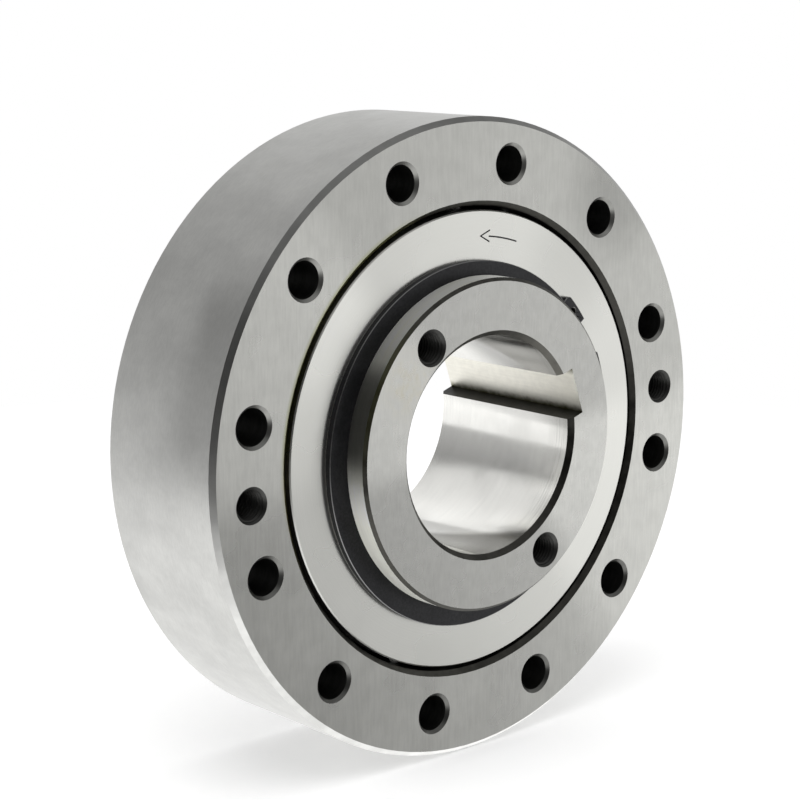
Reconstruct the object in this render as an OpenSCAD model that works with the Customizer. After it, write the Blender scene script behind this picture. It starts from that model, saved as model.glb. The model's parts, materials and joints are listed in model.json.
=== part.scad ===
// Lift-off sprag clutch: an outer race bolted to a machine, an inner race keyed to the shaft,
// and between them a cage of sprags, each on its own trunnions and pushed home by its own spring.
// Sizes are in millimetres. Each piece is drawn with the clutch axis along Z, the mounting face
// at z = 0 and the front towards +Z, and the finished piece is turned so that the axis lies
// along Y and the front faces -Y. Angles are counter-clockwise as seen from the front.

/* [Radial sizes, from the shaft outwards] */
// Diameter of the shaft bore
bore_d = 110; // [80:1:130]
// Wall between the bore and the outside of the hub
hub_wall = 28.5; // [26:0.5:34]
// Height of the inner track above the hub
track_step = 14; // [12:0.5:18]
// Radial space between the inner and the outer track, which the sprags bridge
sprag_space = 20; // [19:0.25:22]
// Distance from the outer track to the circle on which the flange bolts stand
bolt_inset = 21.5; // [18:0.5:30]
// Distance from the flange bolt circle to the outside of the outer race
rim_w = 22; // [16:0.5:32]

/* [Outer race] */
// Axial length of the outer race
race_length = 84; // [74:1:110]
// Chamfer on the outer race's outside edges
race_chamfer = 2.5; // [0.5:0.5:4]
// Chamfer at each end of the outer track
outer_track_chamfer = 2.5; // [0.5:0.25:3]
// Number of flange bolt holes
bolt_count = 12; // [6:1:12]
// Diameter of a flange bolt hole
bolt_hole_d = 18; // [12:0.5:20]
// Chamfer at the front end of a flange bolt hole
bolt_hole_chamfer = 1.6; // [0.4:0.2:2]
// Angle of the first flange bolt hole
bolt_angle = 19.57; // [0:0.01:30]
// Core diameter of the two jack screw threads
jack_core_d = 14; // [8:0.5:16]
// Chamfer at both ends of a jack screw thread
jack_chamfer = 2; // [0.5:0.25:2.5]

/* [Inner race] */
// Chamfer at both ends of the bore
bore_chamfer = 2.6; // [0.5:0.1:3]
// Width of the keyway
key_w = 25; // [16:1:32]
// Depth of the keyway beyond the bore
key_depth = 7.6; // [4:0.1:9]
// Angle of the keyway
key_angle = 19.25; // [0:0.05:45]
// How far the hub stands out past the outer race's front face
hub_overhang = 15; // [8:0.5:30]
// Chamfer on the hub's edges
hub_chamfer = 1.6; // [0.5:0.1:2.5]
// Chamfer at each end of the inner track
inner_track_chamfer = 0.8; // [0.2:0.1:1.5]

/* [Puller threads in the hub face] */
// Core diameter of the puller threads
puller_core_d = 14; // [8:0.5:15]
// Depth of the full puller thread
puller_depth = 30; // [16:1:50]
// Chamfer at the mouth of a puller thread
puller_chamfer = 2.2; // [0.5:0.1:2.4]
// Distance from the bore to the middle of the upper puller thread
puller_upper_inset = 12.3; // [11.5:0.1:15]
// Angle of the upper puller thread
puller_upper_angle = 127.6; // [100:0.1:150]
// Distance from the hub's outside to the middle of the lower puller thread
puller_lower_inset = 13.2; // [11.5:0.1:15]
// Angle of the lower puller thread
puller_lower_angle = 302.3; // [270:0.1:320]

/* [Cage] */
// Thickness of each cage ring
ring_t = 9; // [8:0.5:11]
// Gap all round between a cage ring and the outer track
ring_gap = 2.25; // [1:0.25:3]
// How deep the front cage ring's face lies below the outer race's front face
ring_recess = 1.2; // [0.4:0.1:3]
// Distance from the mounting face to the rear cage ring
ring_rear_inset = 8; // [7:0.5:12]
// Chamfer on the cage rings' edges
ring_chamfer = 0.6; // [0.2:0.1:1]
// Diameter of a cage pin
pin_d = 5; // [3:0.25:6]
// Depth of the blind holes in the cage rings
socket_depth = 6; // [4:0.25:7]
// Chamfer on the ends of cage pins and trunnions
pin_chamfer = 0.4; // [0.1:0.1:0.8]

/* [Circlips] */
// Thickness of a circlip
clip_t = 3.5; // [2.5:0.25:4]
// Depth of a circlip groove
clip_groove_depth = 3; // [2:0.25:4]
// Radial width of a circlip opposite its gap
clip_w = 13.7; // [10:0.1:14]
// How much narrower a circlip is towards its gap, as its outline's offset from the axis
clip_offset = 2.3; // [0.5:0.1:3]
// Angle of the front circlip's gap
clip_angle = 28.9; // [0:0.1:360]
// Width of a circlip's gap between its lugs
clip_gap = 18; // [8:0.5:22]
// Width of a circlip's lug along the rim
lug_w = 18; // [12:0.5:24]
// Chamfer on a lug's outer corner
lug_chamfer = 2; // [0.5:0.25:3]
// Diameter of the plier hole in a lug
lug_hole_d = 4; // [2.5:0.25:5]
// Distance from a lug's outer edge to the middle of its plier hole
lug_hole_inset = 4; // [3.5:0.1:6]

/* [Sprags] */
// Number of sprags, each with its spring and its cage pin
sprag_count = 20; // [12:1:20]
// Radius of a sprag's foot, which stands on the inner track
foot_r = 8; // [7:0.25:9]
// Radius of a sprag's head, which grips the outer track
head_r = 6; // [5:0.25:7]
// Angle by which a sprag's head leans off the radius when it grips
head_lean = 12.5; // [9:0.5:16]
// Radius of the hollows between a sprag's head and its foot
waist_r = 5; // [3:0.5:9]
// Radius of the hollows between a sprag's foot and its tail weight
neck_r = 4; // [2.5:0.25:6]
// Distance from the trunnion to the middle of a sprag's tail weight
tail_reach = 11.5; // [10:0.25:12]
// How far the tail weight hangs below the trunnion
tail_drop = 2.2; // [1.5:0.1:2.6]
// Radius of the tail weight
tail_r = 3.2; // [2.5:0.1:3.6]
// Diameter of the trunnions
trunnion_d = 7; // [5:0.25:7.5]
// Angle through which a sprag tilts clear of the outer track
lift_angle = 15; // [8:0.5:17]

/* [Sprag springs] */
// Diameter of the spring wire
wire_d = 1.6; // [1:0.1:1.8]
// Number of turns in a spring
spring_turns = 4; // [3:1:4]
// Length of the wire end that enters the sprag
tang_length = 5; // [3:0.5:8]
// How far the spring's long leg reaches past its pin
leg_overrun = 3; // [1:0.5:4]

/* [Clearances] */
// Radial clearance of sprags on both tracks
track_clearance = 0.05; // [0.02:0.01:0.08]
// Radial clearance of trunnions in the cage rings
trunnion_clearance = 0.05; // [0.02:0.01:0.08]
// Radial clearance of the cage rings on their seats, and of pins in their holes
seat_clearance = 0.03; // [0.01:0.01:0.06]
// Clearance at each end of a sprag, a trunnion and a cage pin
end_clearance = 0.3; // [0.2:0.05:0.5]
// Clearance of a circlip in its groove
groove_clearance = 0.1; // [0.05:0.05:0.2]
// Gap between a spring and what it bears on, and between a lifted sprag and its stop
touch_clearance = 0.1; // [0.05:0.05:0.2]
// Gap inside a spring's turns
coil_clearance = 0.5; // [0.3:0.05:0.7]

/* [Hidden] */
$fn = 96;
eps = 0.01;

// A point of the plane at a distance from the axis and an angle
function polar(r, a) = r * [cos(a), sin(a)];
function two_digits(k) = k < 10 ? str("0", k) : str(k);
function sprag_name(k) = str("sprag_", two_digits(k));
function spring_name(k) = str("sprag_spring_", two_digits(k));

// Radii
bore_r = bore_d / 2;
hub_r = bore_r + hub_wall;
inner_track_r = hub_r + track_step;
outer_track_r = inner_track_r + sprag_space;
bolt_circle_r = outer_track_r + bolt_inset;
race_r = bolt_circle_r + rim_w;
far = 4 * race_r;
groove_r = hub_r - clip_groove_depth;
ring_outer_r = outer_track_r - ring_gap;
ring_bore_r = hub_r + seat_clearance;
pin_r = pin_d / 2;
trunnion_r = trunnion_d / 2;
wire_r = wire_d / 2;

// Angle between the cutting lips of a twist drill
drill_point_angle = 118;

// Places along the axis, from the mounting face
inner_length = race_length + hub_overhang;
rear_ring_z = ring_rear_inset;
front_ring_z = race_length - ring_recess - ring_t;
inner_track_z0 = rear_ring_z + ring_t;
inner_track_z1 = front_ring_z;
rear_clip_z = rear_ring_z - clip_t;
front_clip_z = front_ring_z + ring_t;
// A spring's turns are drawn a little closer than the wire's diameter, so that they make one solid
coil_pitch = 0.94 * wire_d;
coil_length = wire_d + (spring_turns - 1) * coil_pitch;
coil_z1 = inner_track_z1 - end_clearance;
coil_z0 = coil_z1 - coil_length;
sprag_z0 = inner_track_z0 + end_clearance;
sprag_z1 = coil_z0 - end_clearance;

// Sprag geometry, in its own frame: the trunnion at the origin and +Y away from the clutch axis
pivot_r = inner_track_r + track_clearance + foot_r;
grip_r = outer_track_r - track_clearance - head_r;
head_reach = sqrt(pow(grip_r, 2) - pow(pivot_r * sin(head_lean), 2)) - pivot_r * cos(head_lean);
head_c = polar(head_reach, 90 - head_lean);
tail_c = [-tail_reach, -tail_drop];
function tilted(p, a) = [p.x * cos(a) + p.y * sin(a), p.y * cos(a) - p.x * sin(a)];
function crossing(c0, r0, c1, r1) =
    let (d = norm(c1 - c0), u = (c1 - c0) / d, a = (r0 * r0 - r1 * r1 + d * d) / 2 / d)
    c0 + a * u + sqrt(r0 * r0 - a * a) * [-u.y, u.x];
// The cage pin stands where the lifted tail weight comes to rest against it
stop_angle = 150;
pin_c = tilted(tail_c, lift_angle) + polar(tail_r + pin_r + touch_clearance, stop_angle);

// Spring geometry, in the sprag's frame
coil_r = trunnion_r + coil_clearance + wire_r;
tang_angle = -60;
tang_c = polar(coil_r, tang_angle);
tang_hole_r = wire_r + touch_clearance;
// A spring's two ends are drawn a little thinner than its coil, so that they meet it cleanly
end_r = 0.9 * wire_r;
leg_stand_off = pin_r + end_r + touch_clearance;
leg_normal_angle = atan2(pin_c.y, pin_c.x) + acos((coil_r - leg_stand_off) / norm(pin_c));
leg_length = sqrt(pow(norm(pin_c), 2) - pow(coil_r - leg_stand_off, 2)) + leg_overrun;

// Turn a finished piece so that the clutch axis lies along Y and the front faces -Y
module upright() {
    rotate([90, 0, 0]) children();
}

// Put what is drawn in a sprag's own frame at the place of sprag k
module at_sprag(k) {
    rotate([0, 0, k * 360 / sprag_count]) translate([0, pivot_r, 0]) children();
}

// A slice of the plane between two angles less than half a turn apart
module slice(a0, a1) {
    polygon([[0, 0], polar(far, a0), polar(far, a1)]);
}

// A round hole along Z that opens at z = 0 with a chamfer and runs on past the depth given
module chamfered_mouth(d, chamfer, depth) {
    translate([0, 0, -depth]) cylinder(d = d, h = depth + 1);
    translate([0, 0, -chamfer]) cylinder(d1 = d, d2 = d + 2 * chamfer + 2 * eps, h = chamfer + eps);
}

// A blind thread along Z that opens at z = 0, at its core diameter, with a drill point below
module blind_thread(d, depth, chamfer) {
    point_h = d / 2 / tan(drill_point_angle / 2);
    chamfered_mouth(d, chamfer, depth);
    translate([0, 0, -depth - point_h]) cylinder(d1 = 2 * eps, d2 = d, h = point_h + eps);
}

// A round pin from z0 to z1 with chamfered ends
module chamfered_pin(r, chamfer, z0, z1) {
    rotate_extrude()
        polygon([
            [0, z0], [r - chamfer, z0], [r, z0 + chamfer],
            [r, z1 - chamfer], [r - chamfer, z1], [0, z1]
        ]);
}

// Outer race with its track, the flange bolt holes and two jack screw threads
module outer_race() {
    c = race_chamfer;
    t = outer_track_chamfer;
    color("#8f9295") upright() difference() {
        rotate_extrude()
            polygon([
                [outer_track_r + t, 0], [race_r - c, 0], [race_r, c],
                [race_r, race_length - c], [race_r - c, race_length],
                [outer_track_r + t, race_length], [outer_track_r, race_length - t],
                [outer_track_r, t]
            ]);
        for (k = [0 : bolt_count - 1]) {
            rotate([0, 0, bolt_angle + k * 360 / bolt_count]) translate([bolt_circle_r, 0, race_length])
                chamfered_mouth(bolt_hole_d, bolt_hole_chamfer, race_length + 1);
        }
        for (side = [0, 180]) {
            rotate([0, 0, bolt_angle - 180 / bolt_count + side]) translate([bolt_circle_r, 0, 0]) {
                translate([0, 0, race_length]) chamfered_mouth(jack_core_d, jack_chamfer, race_length / 2);
                mirror([0, 0, 1]) chamfered_mouth(jack_core_d, jack_chamfer, race_length / 2 + 1);
            }
        }
    }
}

// Inner race: bore with keyway, raised track, ring seats, circlip grooves and puller threads
module inner_race() {
    h = hub_chamfer;
    b = bore_chamfer;
    t = inner_track_chamfer;
    slot_w = clip_t + groove_clearance;
    color("#9b9ea1") upright() difference() {
        rotate_extrude()
            polygon([
                [bore_r + b, 0], [hub_r - h, 0], [hub_r, h],
                [hub_r, rear_clip_z - groove_clearance], [groove_r, rear_clip_z - groove_clearance],
                [groove_r, rear_clip_z - groove_clearance + slot_w],
                [hub_r, rear_clip_z - groove_clearance + slot_w],
                [hub_r, inner_track_z0], [inner_track_r - t, inner_track_z0],
                [inner_track_r, inner_track_z0 + t], [inner_track_r, inner_track_z1 - t],
                [inner_track_r - t, inner_track_z1], [hub_r, inner_track_z1],
                [hub_r, front_clip_z], [groove_r, front_clip_z],
                [groove_r, front_clip_z + slot_w], [hub_r, front_clip_z + slot_w],
                [hub_r, inner_length - h], [hub_r - h, inner_length],
                [bore_r + b, inner_length], [bore_r, inner_length - b], [bore_r, b]
            ]);
        rotate([0, 0, key_angle]) translate([0, -key_w / 2, -1])
            cube([bore_r + key_depth, key_w, inner_length + 2]);
        rotate([0, 0, puller_upper_angle]) translate([bore_r + puller_upper_inset, 0, inner_length])
            blind_thread(puller_core_d, puller_depth, puller_chamfer);
        rotate([0, 0, puller_lower_angle]) translate([hub_r - puller_lower_inset, 0, inner_length])
            blind_thread(puller_core_d, puller_depth, puller_chamfer);
    }
}

// One cage ring from z = 0 to its thickness, with the sockets opening at its top
module cage_ring() {
    c = ring_chamfer;
    difference() {
        rotate_extrude()
            polygon([
                [ring_bore_r + c, 0], [ring_outer_r - c, 0], [ring_outer_r, c],
                [ring_outer_r, ring_t - c], [ring_outer_r - c, ring_t],
                [ring_bore_r + c, ring_t], [ring_bore_r, ring_t - c], [ring_bore_r, c]
            ]);
        for (k = [1 : sprag_count]) {
            at_sprag(k) translate([0, 0, ring_t - socket_depth])
                cylinder(r = trunnion_r + trunnion_clearance, h = socket_depth + 1);
            at_sprag(k) translate([pin_c.x, pin_c.y, ring_t - socket_depth])
                cylinder(r = pin_r + seat_clearance, h = socket_depth + 1);
        }
    }
}

// Front cage ring, whose plain outer face shows round the hub
module cage_front_ring() {
    color("#d3d4d2") upright() translate([0, 0, front_ring_z + ring_t]) mirror([0, 0, 1]) cage_ring();
}

// Rear cage ring, the front one's mirror image
module cage_rear_ring() {
    color("#c4c5c3") upright() translate([0, 0, rear_ring_z]) cage_ring();
}

// Pins that tie the two cage rings together and stop the lifted sprags
module cage_pins() {
    z0 = inner_track_z0 - socket_depth + end_clearance;
    z1 = inner_track_z1 + socket_depth - end_clearance;
    color("#7b7e80") upright() for (k = [1 : sprag_count]) {
        at_sprag(k) translate([pin_c.x, pin_c.y, 0]) chamfered_pin(pin_r, pin_chamfer, z0, z1);
    }
}

// The piece of the plane that holds both lugs of a circlip, with the lugs' outer corners cut off
module lug_field(rim_r, end_angle, chamfer) {
    chamfer_angle = end_angle - 2 * asin(chamfer / rim_r);
    polygon([
        [0, 0],
        polar(rim_r - chamfer, -end_angle),
        polar(rim_r + chamfer, -chamfer_angle),
        [far, 0],
        polar(rim_r + chamfer, chamfer_angle),
        polar(rim_r - chamfer, end_angle)
    ]);
}

// External circlip that narrows towards its gap, which lies at angle 0 between two lugs
module circlip() {
    r_in = groove_r + groove_clearance;
    r_out = r_in + clip_w;
    half_gap = asin(clip_gap / 2 / r_in);
    lug_turn = 360 * lug_w / (2 * PI * r_out);
    linear_extrude(clip_t) difference() {
        union() {
            translate([-clip_offset, 0]) circle(r = r_out - clip_offset);
            intersection() {
                circle(r = r_out);
                lug_field(r_out, half_gap + lug_turn, lug_chamfer);
            }
        }
        circle(r = r_in);
        slice(-half_gap, half_gap);
        for (side = [-1, 1]) {
            translate(polar(r_out - lug_hole_inset, side * (half_gap + lug_turn / 2)))
                circle(d = lug_hole_d);
        }
    }
}

// Circlip in front of the front cage ring
module front_circlip() {
    color("#2c2d2f") upright() translate([0, 0, front_clip_z]) rotate([0, 0, clip_angle]) circlip();
}

// Circlip behind the rear cage ring
module rear_circlip() {
    color("#2c2d2f") upright() translate([0, 0, rear_clip_z]) rotate([0, 0, clip_angle + 180]) circlip();
}

// A hollow curve of radius r that joins two discs smoothly, on the left of the way from the first
module hollow_between(c0, r0, c1, r1, r) {
    hollow_c = crossing(c0, r0 + r, c1, r1 + r);
    difference() {
        polygon([c0, c1, hollow_c]);
        translate(hollow_c) circle(r = r);
    }
}

// Cross-section of a sprag as it grips: foot, head and tail weight, with hollows between them
module sprag_section() {
    foot_c = [0, 0];
    circle(r = foot_r);
    translate(head_c) circle(r = head_r);
    translate(tail_c) circle(r = tail_r);
    hollow_between(head_c, head_r, foot_c, foot_r, waist_r);
    hollow_between(foot_c, foot_r, head_c, head_r, waist_r);
    hollow_between(foot_c, foot_r, tail_c, tail_r, neck_r);
    hollow_between(tail_c, tail_r, foot_c, foot_r, neck_r);
}

// Sprag k: a cam body with a trunnion at each end and a hole for its spring's end
module sprag(k) {
    reach = socket_depth - end_clearance;
    color("#85888b") upright() at_sprag(k) {
        difference() {
            translate([0, 0, sprag_z0]) linear_extrude(sprag_z1 - sprag_z0) sprag_section();
            translate([tang_c.x, tang_c.y, sprag_z1 - tang_length - end_clearance])
                cylinder(r = tang_hole_r, h = tang_length + 1);
        }
        chamfered_pin(trunnion_r, pin_chamfer, inner_track_z0 - reach, inner_track_z1 + reach);
    }
}

// Spring k: a coil round the sprag's front trunnion, one end in the sprag and one leg on a cage pin
module sprag_spring(k) {
    color("#6f6a5c") upright() at_sprag(k) {
        rotate_extrude() for (turn = [0 : spring_turns - 1]) {
            translate([coil_r, coil_z0 + wire_r + turn * coil_pitch]) circle(r = wire_r);
        }
        translate([tang_c.x, tang_c.y, sprag_z1 - tang_length])
            cylinder(r = end_r, h = tang_length + end_clearance + wire_r);
        rotate([0, 0, leg_normal_angle]) translate([coil_r, 0, coil_z1 - wire_r])
            rotate([90, 0, 0]) cylinder(r = end_r, h = leg_length);
    }
}

outer_race();
inner_race();
cage_front_ring();
cage_rear_ring();
cage_pins();
front_circlip();
rear_circlip();
for (k = [1 : sprag_count]) {
    sprag(k);
    sprag_spring(k);
}
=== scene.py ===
"""Sprag clutch: finishes, threads, springs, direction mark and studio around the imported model.

The clutch axis lies along Y with the front towards -Y and Z up, and every length is in metres.
Angles round the axis are in degrees, counter-clockwise from +X as seen from the front.
"""
import json
import math

import bmesh
import bpy
from bpy.props import FloatProperty, FloatVectorProperty, IntProperty
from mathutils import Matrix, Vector


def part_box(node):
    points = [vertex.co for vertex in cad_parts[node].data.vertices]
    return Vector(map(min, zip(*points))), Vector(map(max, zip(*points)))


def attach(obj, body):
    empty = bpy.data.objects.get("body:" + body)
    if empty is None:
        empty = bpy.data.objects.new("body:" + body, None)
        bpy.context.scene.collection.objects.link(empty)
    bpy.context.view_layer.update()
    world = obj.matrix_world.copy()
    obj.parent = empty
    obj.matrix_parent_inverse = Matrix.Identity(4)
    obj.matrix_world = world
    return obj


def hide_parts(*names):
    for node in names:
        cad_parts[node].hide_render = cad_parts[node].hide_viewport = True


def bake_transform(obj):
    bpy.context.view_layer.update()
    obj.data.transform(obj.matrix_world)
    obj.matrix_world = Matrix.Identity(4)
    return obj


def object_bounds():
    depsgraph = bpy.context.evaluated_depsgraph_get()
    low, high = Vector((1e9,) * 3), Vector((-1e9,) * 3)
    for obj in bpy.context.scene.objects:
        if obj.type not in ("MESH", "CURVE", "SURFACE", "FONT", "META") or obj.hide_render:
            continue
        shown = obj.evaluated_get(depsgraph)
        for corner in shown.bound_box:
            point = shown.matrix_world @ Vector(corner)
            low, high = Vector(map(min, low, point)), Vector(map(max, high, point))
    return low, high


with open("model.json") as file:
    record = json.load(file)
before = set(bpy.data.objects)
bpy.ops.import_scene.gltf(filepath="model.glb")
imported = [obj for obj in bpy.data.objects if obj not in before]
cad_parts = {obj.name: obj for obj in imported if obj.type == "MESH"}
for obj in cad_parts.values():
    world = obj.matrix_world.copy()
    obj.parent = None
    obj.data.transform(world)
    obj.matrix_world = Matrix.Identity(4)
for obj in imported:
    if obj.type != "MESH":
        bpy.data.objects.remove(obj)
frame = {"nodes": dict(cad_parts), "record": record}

bl_info = {
    "name": "Sprag clutch",
    "version": (1, 0, 0),
    "blender": (4, 5, 0),
    "location": "View3D > Sidebar > Clutch",
    "description": "Dresses a sprag clutch with ground steel, threads, springs and a studio",
    "category": "Object",
}

CAD_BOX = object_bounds()
MOUNTS = {mount["name"]: mount for mount in frame["record"]["mounts"]}
SPRAGS = sorted(name for name in frame["nodes"] if name[:-2] == "sprag_")
SPRINGS = sorted(name for name in frame["nodes"] if name[:-2] == "sprag_spring_")
FRONT_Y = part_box("outer_race")[0].y
HUB_FRONT_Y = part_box("inner_race")[0].y
RING_FRONT_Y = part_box("cage_front_ring")[0].y
MM = 0.001

# Slack in metres when faces are told apart, and distance at which two points are one
MARGIN = 0.1 * MM
SAME_POINT = 2e-6
# Faces that meet at more than this angle keep a sharp edge
SHARP_EDGE = math.radians(25)
# A metric thread's height as a share of its pitch, and its flat and slanted shares of half a turn
THREAD_HEIGHT = 0.5413
THREAD_FLAT = 0.25
THREAD_FLANK = 0.625
# Steps in the path of a spring's wire, in one turn and in the bend at its tang
TURN_STEPS = 24
BEND_STEPS = 6
# Directions in degrees of the painted highlight fans on ground faces and of the painted shade on turned
# sides
SHEEN_TURN = 157
PAINTED_SHADE_TURN = 163
# Stretch of noise into lines round the clutch axis, and the range that most of its values fill
ROUND_LINES = (0.05, 1.0, 0.05)
MIDDLE = (0.3, 0.7)


def colour(name, description, default):
    """A colour property in scene-linear light."""
    return FloatVectorProperty(name=name, description=description, default=default,
                               subtype="COLOR", min=0, max=1)


def length(name, description, default):
    """A length property in metres."""
    return FloatProperty(name=name, description=description, default=default, subtype="DISTANCE",
                         unit="LENGTH", precision=5)


def angle(name, description, default):
    """An angle property, whose default is written here in degrees."""
    return FloatProperty(name=name, description=description, default=math.radians(default),
                         subtype="ANGLE", unit="ROTATION")


def amount(name, description, default, most=3.0):
    """A property for a plain number from 0 up."""
    return FloatProperty(name=name, description=description, default=default, min=0, max=most)


def count(name, description, default, low, high):
    """A property for a whole number."""
    return IntProperty(name=name, description=description, default=default, min=low, max=high)


class SteelSettings(bpy.types.PropertyGroup):
    """Colours and gloss of the steel finishes."""
    flange: colour("Flange face", "Ground face of the outer race", (0.560, 0.560, 0.532))
    rim: colour("Rim", "Turned outside of the outer race", (0.68, 0.68, 0.66))
    # Painted shade: the hole walls are dark for the shade inside the holes
    hole: colour("Hole wall", "Drilled and tapped walls", (0.10, 0.10, 0.095))
    mouth: colour("Hole mouths", "Chamfers at the mouths of the flange holes", (0.36, 0.36, 0.34))
    edge: colour("Dark edge", "Oil-dark chamfers and keyway walls", (0.085, 0.083, 0.074))
    hub: colour("Hub face", "Fine ground face of the hub", (0.560, 0.560, 0.535))
    side: colour("Hub side", "Satin side of the hub", (1.0, 1.0, 0.93))
    polished: colour("Bore", "Polished bore", (0.82, 0.815, 0.785))
    keyway: colour("Keyway", "Broached floor of the keyway", (0.90, 0.88, 0.80))
    cage: colour("Cage ring", "Bright ground cage rings", (0.80, 0.80, 0.76))
    circlip: colour("Circlip", "Black oxide of the circlips", (0.030, 0.030, 0.032))
    rubbed: colour("Rubbed edge", "Circlip edges rubbed through the black", (0.30, 0.30, 0.30))
    broken: length("Broken edge", "Width of the circlips' broken edges", 0.35 * MM)
    pin: colour("Pin", "Bright drawn cage pins", (0.34, 0.34, 0.33))
    # Painted shade: the sprags are darker than ground steel for the shade between the races
    sprag: colour("Sprag", "Ground hardened sprags", (0.15, 0.15, 0.145))
    wire: colour("Spring wire", "Drawn wire of the sprag springs", (0.36, 0.34, 0.30))
    mark: colour("Mark", "Etched direction arrow", (0.030, 0.030, 0.032))
    # Old oil and painted shade: this dark olive also stands for the shade where the keyway floor meets
    # its walls
    oil: colour("Oil", "Old oil left in the keyway's corners", (0.10, 0.095, 0.04))
    edge_oil: colour("Edge oil", "Thick oil on the dark edges", (0.34, 0.34, 0.14))
    face_oil: colour("Face oil", "Thin oil on the flange beside the track", (0.42, 0.43, 0.27))
    stain: colour("Stain", "Faint brown stain on the hub face", (0.62, 0.59, 0.49))


class ThreadSettings(bpy.types.PropertyGroup):
    """Sizes of the tapped holes, which share one pitch, and the keyway's place."""
    pitch: length("Pitch", "Distance from one turn to the next", 2.0 * MM)
    jack_chamfer: length("Jack chamfer", "Chamfer at both ends of a jack thread", 2.0 * MM)
    puller_chamfer: length("Puller chamfer", "Chamfer at the mouth of a puller thread", 2.2 * MM)
    puller_depth: length("Puller depth", "Depth of the full puller thread", 30 * MM)
    jack_angle: angle("Jack angle", "Angle of the first jack thread round the clutch axis", 4.57)
    key_angle: angle("Key angle", "Angle of the keyway round the clutch axis", 19.25)
    key_width: length("Key width", "Width of the keyway", 25 * MM)
    around: count("Points around", "Points in one turn of a thread", 48, 12, 96)
    rows: count("Rows per turn", "Rows of faces over one pitch", 8, 4, 16)


class SpringSettings(bpy.types.PropertyGroup):
    """Sizes of the sprag springs, as the model has them."""
    pivot: length("Pivot", "Distance of the sprags' trunnions from the clutch axis", 105.55 * MM)
    wire: length("Wire", "Diameter of the spring wire", 1.6 * MM)
    coil: length("Coil", "Radius of the middle of the wire in the coil", 4.8 * MM)
    turns: count("Turns", "Whole turns in the coil", 2, 1, 3)
    start: length("Start", "Where the coil starts along the clutch axis", -68.188 * MM)
    bend: length("Bend", "Radius of the bend between the tang and the coil", 1.0 * MM)
    tang_angle: angle("Tang angle", "Angle of the tang round the trunnion", -60)
    leg_angle: angle("Leg angle", "Angle round the trunnion where the long leg leaves the coil", -107.6)
    leg: length("Leg", "Length of the long leg that bears on the cage pin", 20.04 * MM)
    sides: count("Sides", "Sides of the wire", 10, 6, 24)


class MarkSettings(bpy.types.PropertyGroup):
    """Place and size of the direction arrow on the front cage ring."""
    radius: length("Radius", "Distance of the arrow's shaft from the clutch axis", 102.4 * MM)
    tail: angle("Tail", "Angle at which the arrow starts", 72.7)
    neck: angle("Neck", "Angle at which the shaft ends, short of the head", 83.7)
    tip: angle("Tip", "Angle at which the arrow points", 86.8)
    barb: length("Barb", "Length of the two strokes of the arrow's head", 6.8 * MM)
    spread: angle("Spread", "Angle between the shaft and each stroke of the head", 25)
    stroke: length("Stroke", "Width of the etched line", 0.75 * MM)
    proud: length("Proud", "Height of the mark above the ring, and its depth below", 0.03 * MM)


class StageSettings(bpy.types.PropertyGroup):
    """Camera, floor and light."""
    lens: FloatProperty(name="Lens", description="Focal length in millimetres on a 36 mm sensor",
                        default=95.25, min=10, max=300)
    camera: FloatVectorProperty(name="Camera", description="Place of the camera", unit="LENGTH",
                                subtype="TRANSLATION", default=(-0.7101, -0.8365, 0.2179))
    aim: FloatVectorProperty(name="Aim", description="Direction in which the camera looks",
                             subtype="XYZ", default=(0.6488, 0.7376, -0.1871))
    floor: length("Floor", "Radius of the round floor", 0.8)
    paper: colour("Paper", "Colour of the floor", (0.86, 0.86, 0.86))
    glow: amount("Glow", "Light that the floor gives of itself to the camera", 0.30)
    key: FloatProperty(name="Key light", description="Power of the soft lamp overhead",
                       default=14, min=0, max=500, subtype="POWER", unit="POWER")
    card: amount("Cards", "Power of each square metre of the cards seen in the bore", 2.2, 20)
    room: amount("Room light", "Strength of the light from all round", 0.75)
    walls: amount("Walls", "Brightness of the room's walls in polished steel", 0.80)
    table: amount("Table", "Brightness of the white table in polished steel", 1.0)


def feed(tree, socket, value):
    """Join a value, a node or a socket to an input."""
    if isinstance(value, bpy.types.Node):
        value = value.outputs[0]
    if isinstance(value, bpy.types.NodeSocket):
        tree.links.new(value, socket)
    elif value is not None:
        socket.default_value = value


def add(tree, kind, *inputs, named=None, **settings):
    """Add a node with its settings and feed its inputs, in order and by name."""
    made = tree.nodes.new(kind)
    for key, value in settings.items():
        setattr(made, key, value)
    for socket, value in zip(made.inputs, inputs):
        feed(tree, socket, value)
    for key, value in (named or {}).items():
        feed(tree, made.inputs[key], value)
    return made


def calc(tree, operation, *inputs, clamp=False):
    """A Math node's result."""
    return add(tree, "ShaderNodeMath", *inputs, operation=operation, use_clamp=clamp).outputs[0]


def ramp(tree, value, low, high, out_low=0.0, out_high=1.0):
    """A value mapped smoothly and clamped from one range to another."""
    made = add(tree, "ShaderNodeMapRange", value, low, high, out_low, out_high,
               interpolation_type="SMOOTHSTEP")
    return made.outputs[0]


def blend(tree, factor, first, second):
    """A number that goes from the first to the second with the factor."""
    return add(tree, "ShaderNodeMix", factor, None, first, second, data_type="FLOAT").outputs[0]


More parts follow.
